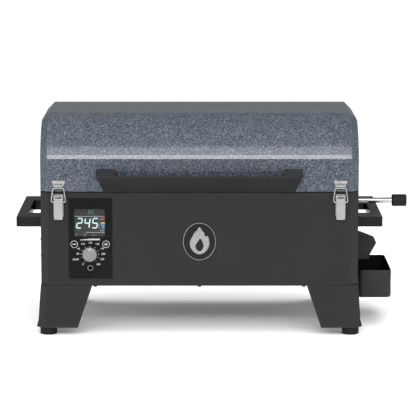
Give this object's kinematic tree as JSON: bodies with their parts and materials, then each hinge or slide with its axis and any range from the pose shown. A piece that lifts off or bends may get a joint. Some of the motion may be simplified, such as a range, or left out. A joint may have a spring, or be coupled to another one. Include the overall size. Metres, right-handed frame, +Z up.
{
  "type": "pellet smoker grill",
  "caption": "Table-top pellet grill: folded sheet body on splayed legs, hinged domed lid with latches, control panel, side handles, broiler rod and grease bucket.",
  "frame": {"origin": "middle of the whole grill's bounding box, at the level of the feet's undersides", "axes": "+X towards the grease bucket side, -Y the front with the control panel and lid handle, +Z up"},
  "size_m": [0.776, 0.41, 0.428],
  "materials": {
    "hammertone_paint": "hammered gloss paint, blue grey",
    "black_paint": "fine texture matte powder coat",
    "handle_paint": "satin powder coat",
    "zinc_steel": "zinc plated, satin",
    "plain_steel": "galvanised sheet",
    "fire_steel": "heat darkened steel",
    "chrome_rod": "polished",
    "black_enamel": "porcelain enamel",
    "panel_plastic": "gloss black",
    "black_plastic": "moulded, matte",
    "silver_plastic": "silver coated plastic",
    "display_glass": "smoked clear window",
    "foot_rubber": "black rubber",
    "white_plastic": "printed button cap",
    "red_plastic": "rocker cap"
  },
  "bodies": {
    "grill": {"body_shell": "black_paint", "floor_pan": "black_paint", "leg_front_left": "black_paint", "leg_front_right": "black_paint", "leg_rear_left": "black_paint", "leg_rear_right": "black_paint", "rubber_feet": "foot_rubber", "side_handle_left": "handle_paint", "side_handle_right": "handle_paint", "control_panel": "panel_plastic", "display_lens": "display_glass", "controller_box": "black_plastic", "probe_jack": "zinc_steel", "panel_screws": "black_plastic", "badge_plate": "panel_plastic", "badge_ring": "zinc_steel", "badge_emblem": "zinc_steel", "bottom_screws": "handle_paint", "latch_bases": "zinc_steel", "hinge_body_leaves": "plain_steel", "hinge_pins": "plain_steel", "partition": "plain_steel", "grate_rails": "plain_steel", "broiler_plate": "fire_steel", "fire_pot": "fire_steel", "igniter": "fire_steel", "auger_tube": "plain_steel", "auger_motor": "plain_steel", "fan_housing": "black_plastic", "hopper_bin": "plain_steel", "hopper_grid": "plain_steel", "grease_tray": "fire_steel", "grease_chute": "black_paint", "bucket_bracket": "black_paint", "temp_probe": "zinc_steel", "power_inlet": "black_plastic"},
    "lid": {"lid_shell": "hammertone_paint", "lid_end_left": "hammertone_paint", "lid_end_right": "hammertone_paint", "lid_handle": "handle_paint", "lid_keepers": "zinc_steel", "hinge_lid_leaves": "plain_steel"},
    "latch_lever_left": {"latch_lever_left": "zinc_steel"},
    "latch_lever_right": {"latch_lever_right": "zinc_steel"},
    "latch_loop_left": {"latch_loop_left": "zinc_steel"},
    "latch_loop_right": {"latch_loop_right": "zinc_steel"},
    "broiler_slider": {"slider_plate": "fire_steel", "slider_rod": "chrome_rod", "rod_knob": "black_plastic"},
    "bucket": {"grease_bucket": "handle_paint"},
    "knob": {"control_knob": "silver_plastic"},
    "button_left": {"button_left": "panel_plastic"},
    "button_right": {"button_right": "panel_plastic"},
    "hopper_lid": {"hopper_lid": "handle_paint"},
    "auger": {"auger_screw": "plain_steel"},
    "fan": {"fan_impeller": "black_plastic"},
    "switch": {"power_switch": "red_plastic"},
    "grate_left": {"cooking_grate_left": "black_enamel"},
    "grate_right": {"cooking_grate_right": "black_enamel"}
  },
  "joints": [
    {"name": "lid_hinge", "type": "hinge", "parent": "grill", "child": "lid", "pos_m": [-0.027, 0.2005, 0.282], "axis": [-1, 0, 0], "range_deg": [0, 95]},
    {"name": "latch_left_lever", "type": "hinge", "parent": "grill", "child": "latch_lever_left", "pos_m": [-0.301, -0.1695, 0.2735], "axis": [-1, 0, 0], "range_deg": [0, 100]},
    {"name": "latch_left_loop", "type": "hinge", "parent": "latch_lever_left", "child": "latch_loop_left", "pos_m": [-0.301, -0.172, 0.2635], "axis": [-1, 0, 0], "range_deg": [-100, 0]},
    {"name": "latch_right_lever", "type": "hinge", "parent": "grill", "child": "latch_lever_right", "pos_m": [0.247, -0.1695, 0.2735], "axis": [-1, 0, 0], "range_deg": [0, 100]},
    {"name": "latch_right_loop", "type": "hinge", "parent": "latch_lever_right", "child": "latch_loop_right", "pos_m": [0.247, -0.172, 0.2635], "axis": [-1, 0, 0], "range_deg": [-100, 0]},
    {"name": "broiler_slide", "type": "slide", "parent": "grill", "child": "broiler_slider", "axis": [1, 0, 0], "range_m": [0, 0.09]},
    {"name": "bucket_slide", "type": "slide", "parent": "grill", "child": "bucket", "axis": [0, -1, 0], "range_m": [0, 0.2]},
    {"name": "knob_turn", "type": "hinge", "parent": "grill", "child": "knob", "pos_m": [-0.2406, -0.175, 0.1615], "axis": [0, -1, 0], "range_deg": [-135, 135]},
    {"name": "button_left_press", "type": "slide", "parent": "grill", "child": "button_left", "axis": [0, 1, 0], "range_m": [0, 0.0012], "stiffness_N_per_m": 300},
    {"name": "button_right_press", "type": "slide", "parent": "grill", "child": "button_right", "axis": [0, 1, 0], "range_m": [0, 0.0012], "stiffness_N_per_m": 300},
    {"name": "hopper_lid_hinge", "type": "hinge", "parent": "grill", "child": "hopper_lid", "pos_m": [-0.1912, 0.04, 0.2729], "axis": [0, 1, 0], "range_deg": [0, 85]},
    {"name": "auger_spin", "type": "hinge", "parent": "grill", "child": "auger", "pos_m": [-0.157, 0.04, 0.136], "axis": [1, 0, 0], "continuous": true},
    {"name": "fan_spin", "type": "hinge", "parent": "grill", "child": "fan", "pos_m": [-0.243, -0.081, 0.113], "axis": [0, 0, 1], "continuous": true},
    {"name": "switch_rock", "type": "hinge", "parent": "grill", "child": "switch", "pos_m": [-0.225, 0.192, 0.159], "axis": [1, 0, 0], "range_deg": [0, 10]},
    {"name": "grate_left_lift", "type": "slide", "parent": "grill", "child": "grate_left", "axis": [0, 0, 1], "range_m": [0, 0.08]},
    {"name": "grate_right_lift", "type": "slide", "parent": "grill", "child": "grate_right", "axis": [0, 0, 1], "range_m": [0, 0.08]}
  ],
  "couplings": [
    {"joint": "latch_left_loop", "follows": "latch_left_lever", "ratio": -1},
    {"joint": "latch_right_loop", "follows": "latch_right_lever", "ratio": -1}
  ]
}
